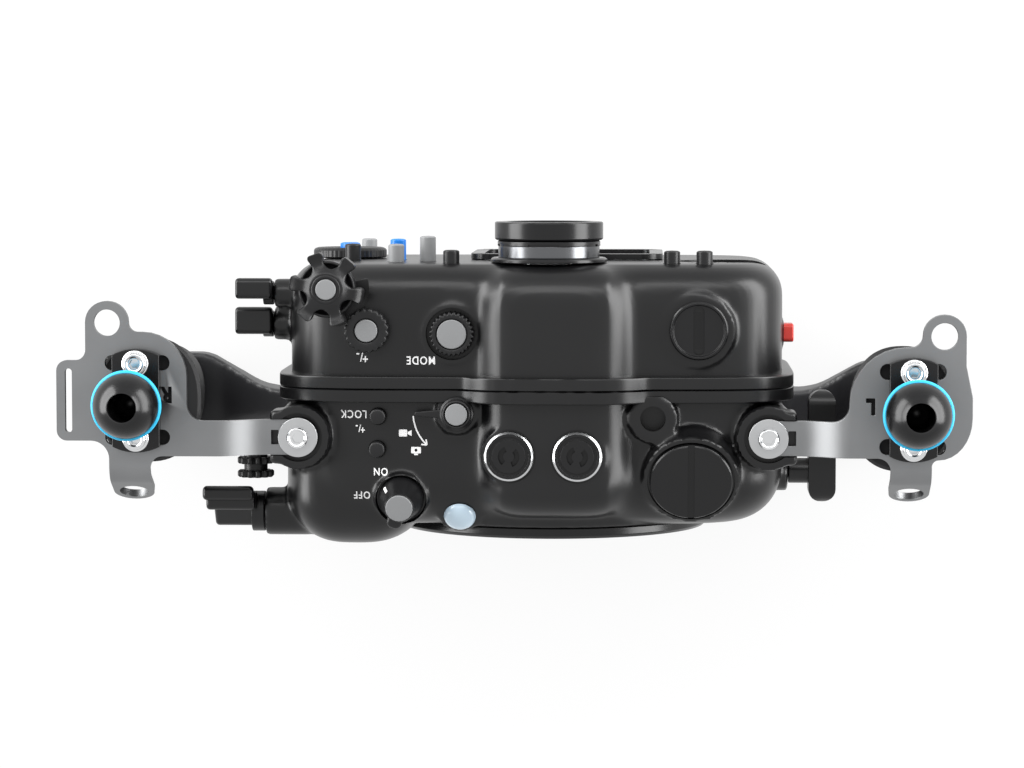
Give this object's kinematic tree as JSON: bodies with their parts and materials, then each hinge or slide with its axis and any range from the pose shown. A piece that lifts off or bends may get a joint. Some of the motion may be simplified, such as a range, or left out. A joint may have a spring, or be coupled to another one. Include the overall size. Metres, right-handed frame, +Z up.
{
  "type": "underwater camera housing",
  "caption": "Hard-shell underwater housing for a mirrorless camera, with a lens port ring, finder, dials, levers, grips on arms and ball mounts.",
  "frame": {"origin": "centre of the underside of the base pad, straight under the lens axis", "axes": "+Z up; the lens looks along -Y; the right hand of a person behind the housing is at -X"},
  "size_m": [0.3501, 0.1264, 0.1875],
  "materials": {
    "anodised": "hard black anodised over bead-blasted castings",
    "polymer": "moulded satin black",
    "seal_rubber": "smooth moulded rubber",
    "grip_rubber": "matt soft-touch rubber",
    "stainless": "lightly brushed sheet",
    "polished_steel": "polished",
    "grey_cap": "light grey satin",
    "blue_rubber": "smooth cyan-blue",
    "blue_button": "smooth blue",
    "red_button": "smooth red",
    "lens": "clear, faintly blue",
    "window": "clear pane over the dark inside"
  },
  "bodies": {
    "housing_front": {"front_shell": "anodised", "port_ring": "anodised", "right_bulkhead_plug": "anodised", "left_bulkhead_plug": "anodised", "bulkhead_cap": "anodised", "right_arm": "anodised", "left_arm": "anodised", "right_ball": "anodised", "left_ball": "anodised", "camera_tray": "anodised", "main_seal": "seal_rubber", "right_grip": "grip_rubber", "left_grip": "grip_rubber", "right_bracket": "stainless", "left_bracket": "stainless", "tray_screw": "polished_steel", "right_bracket_screw": "polished_steel", "right_front_ball_screw": "polished_steel", "right_rear_ball_screw": "polished_steel", "left_bracket_screw": "polished_steel", "left_front_ball_screw": "polished_steel", "left_rear_ball_screw": "polished_steel", "right_ball_ring": "blue_rubber", "left_ball_ring": "blue_rubber", "leak_lamp": "lens"},
    "rear_door": {"rear_shell": "anodised", "rear_window": "window", "window_frame": "anodised", "finder_mount": "polished_steel", "finder_ring": "anodised", "finder_lens": "lens", "vacuum_plug": "anodised"},
    "star": {"star_dial": "polymer", "star_dial_spindle": "grey_cap"},
    "exposure": {"exposure_dial": "polymer", "exposure_dial_spindle": "grey_cap"},
    "mode": {"mode_dial": "polymer", "mode_dial_spindle": "grey_cap"},
    "power": {"power_switch": "polymer", "power_switch_spindle": "grey_cap"},
    "drive": {"drive_lever": "polymer", "drive_lever_spindle": "grey_cap"},
    "lock_press": {"lock_button": "polymer"},
    "custom_press": {"custom_button": "polymer"},
    "shutter": {"shutter_lever": "anodised"},
    "front_wheel": {"front_dial": "polymer"},
    "port_release": {"port_release_lever": "anodised"},
    "record_thumb": {"record_lever": "anodised"},
    "af_thumb": {"af_on_lever": "anodised"},
    "rear_wheel": {"control_wheel": "polymer"},
    "latch_turn": {"latch_knob": "anodised"},
    "latch_press": {"latch_button": "red_button"},
    "playback_button_press": {"playback_button": "blue_button"},
    "function_button_press": {"function_button": "grey_cap"},
    "record_button_press": {"record_button": "blue_button"},
    "focus_button_press": {"focus_button": "grey_cap"},
    "disp_button_press": {"disp_button": "polymer"},
    "menu_button_press": {"menu_button": "polymer"},
    "custom_rear_button_press": {"custom_rear_button": "polymer"},
    "delete_button_press": {"delete_button": "grey_cap"}
  },
  "joints": [
    {"name": "rear_door_slide", "type": "slide", "parent": "housing_front", "child": "rear_door", "axis": [0, 1, 0], "range_m": [0, 0.14]},
    {"name": "star_dial_turn", "type": "hinge", "parent": "rear_door", "child": "star", "pos_m": [-0.08402, 0.06278, 0.13492], "axis": [0, 0, 1], "continuous": true},
    {"name": "exposure_dial_turn", "type": "hinge", "parent": "rear_door", "child": "exposure", "pos_m": [-0.06933, 0.0467, 0.13664], "axis": [0, 0, 1], "continuous": true},
    {"name": "mode_dial_turn", "type": "hinge", "parent": "rear_door", "child": "mode", "pos_m": [-0.03666, 0.04531, 0.13299], "axis": [0, 0, 1], "continuous": true},
    {"name": "control_wheel_turn", "type": "hinge", "parent": "rear_door", "child": "rear_wheel", "pos_m": [-0.08185, 0.072, 0.0656], "axis": [0, 1, 0], "continuous": true},
    {"name": "front_dial_turn", "type": "hinge", "parent": "housing_front", "child": "front_wheel", "pos_m": [-0.1153, -0.0084, 0.1125], "axis": [0, 1, 0], "continuous": true},
    {"name": "power_switch_turn", "type": "hinge", "parent": "housing_front", "child": "power", "pos_m": [-0.05647, -0.01882, 0.13689], "axis": [0, -0.2079, 0.9781], "range_deg": [0, 45]},
    {"name": "drive_lever_turn", "type": "hinge", "parent": "housing_front", "child": "drive", "pos_m": [-0.03463, 0.01482, 0.14019], "axis": [0, 0, 1], "range_deg": [0, 60]},
    {"name": "shutter_lever_turn", "type": "hinge", "parent": "housing_front", "child": "shutter", "pos_m": [-0.1119, -0.0266, 0.10582], "axis": [-1, 0, 0], "range_deg": [0, 12], "stiffness_Nm_per_rad": 0.4},
    {"name": "record_lever_turn", "type": "hinge", "parent": "rear_door", "child": "record_thumb", "pos_m": [-0.1085, 0.04752, 0.1049], "axis": [1, 0, 0], "range_deg": [0, 12], "stiffness_Nm_per_rad": 0.4},
    {"name": "af_on_lever_turn", "type": "hinge", "parent": "rear_door", "child": "af_thumb", "pos_m": [-0.1073, 0.06, 0.11473], "axis": [1, 0, 0], "range_deg": [0, 12], "stiffness_Nm_per_rad": 0.4},
    {"name": "port_release_turn", "type": "hinge", "parent": "housing_front", "child": "port_release", "pos_m": [0.0944, -0.01213, 0.08132], "axis": [1, 0, 0], "range_deg": [0, 40]},
    {"name": "latch_knob_turn", "type": "hinge", "parent": "rear_door", "child": "latch_turn", "pos_m": [0.06753, 0.064, 0.096], "axis": [0, 1, 0], "range_deg": [0, 90]},
    {"name": "lock_button_press", "type": "slide", "parent": "housing_front", "child": "lock_press", "axis": [0, 0, -1], "range_m": [0, 0.002], "stiffness_N_per_m": 300},
    {"name": "custom_button_press", "type": "slide", "parent": "housing_front", "child": "custom_press", "axis": [0, 0, -1], "range_m": [0, 0.002], "stiffness_N_per_m": 300},
    {"name": "latch_button_press", "type": "slide", "parent": "rear_door", "child": "latch_press", "axis": [-1, 0, 0], "range_m": [0, 0.002], "stiffness_N_per_m": 300},
    {"name": "playback_button_press", "type": "slide", "parent": "rear_door", "child": "playback_button_press", "axis": [0, -1, 0], "range_m": [0, 0.002], "stiffness_N_per_m": 300},
    {"name": "function_button_press", "type": "slide", "parent": "rear_door", "child": "function_button_press", "axis": [0, -1, 0], "range_m": [0, 0.002], "stiffness_N_per_m": 300},
    {"name": "record_button_press", "type": "slide", "parent": "rear_door", "child": "record_button_press", "axis": [0, -1, 0], "range_m": [0, 0.002], "stiffness_N_per_m": 300},
    {"name": "focus_button_press", "type": "slide", "parent": "rear_door", "child": "focus_button_press", "axis": [0, -1, 0], "range_m": [0, 0.002], "stiffness_N_per_m": 300},
    {"name": "disp_button_press", "type": "slide", "parent": "rear_door", "child": "disp_button_press", "axis": [0, -1, 0], "range_m": [0, 0.002], "stiffness_N_per_m": 300},
    {"name": "menu_button_press", "type": "slide", "parent": "rear_door", "child": "menu_button_press", "axis": [0, -1, 0], "range_m": [0, 0.002], "stiffness_N_per_m": 300},
    {"name": "custom_rear_button_press", "type": "slide", "parent": "rear_door", "child": "custom_rear_button_press", "axis": [0, -1, 0], "range_m": [0, 0.002], "stiffness_N_per_m": 300},
    {"name": "delete_button_press", "type": "slide", "parent": "rear_door", "child": "delete_button_press", "axis": [0, -1, 0], "range_m": [0, 0.002], "stiffness_N_per_m": 300}
  ]
}
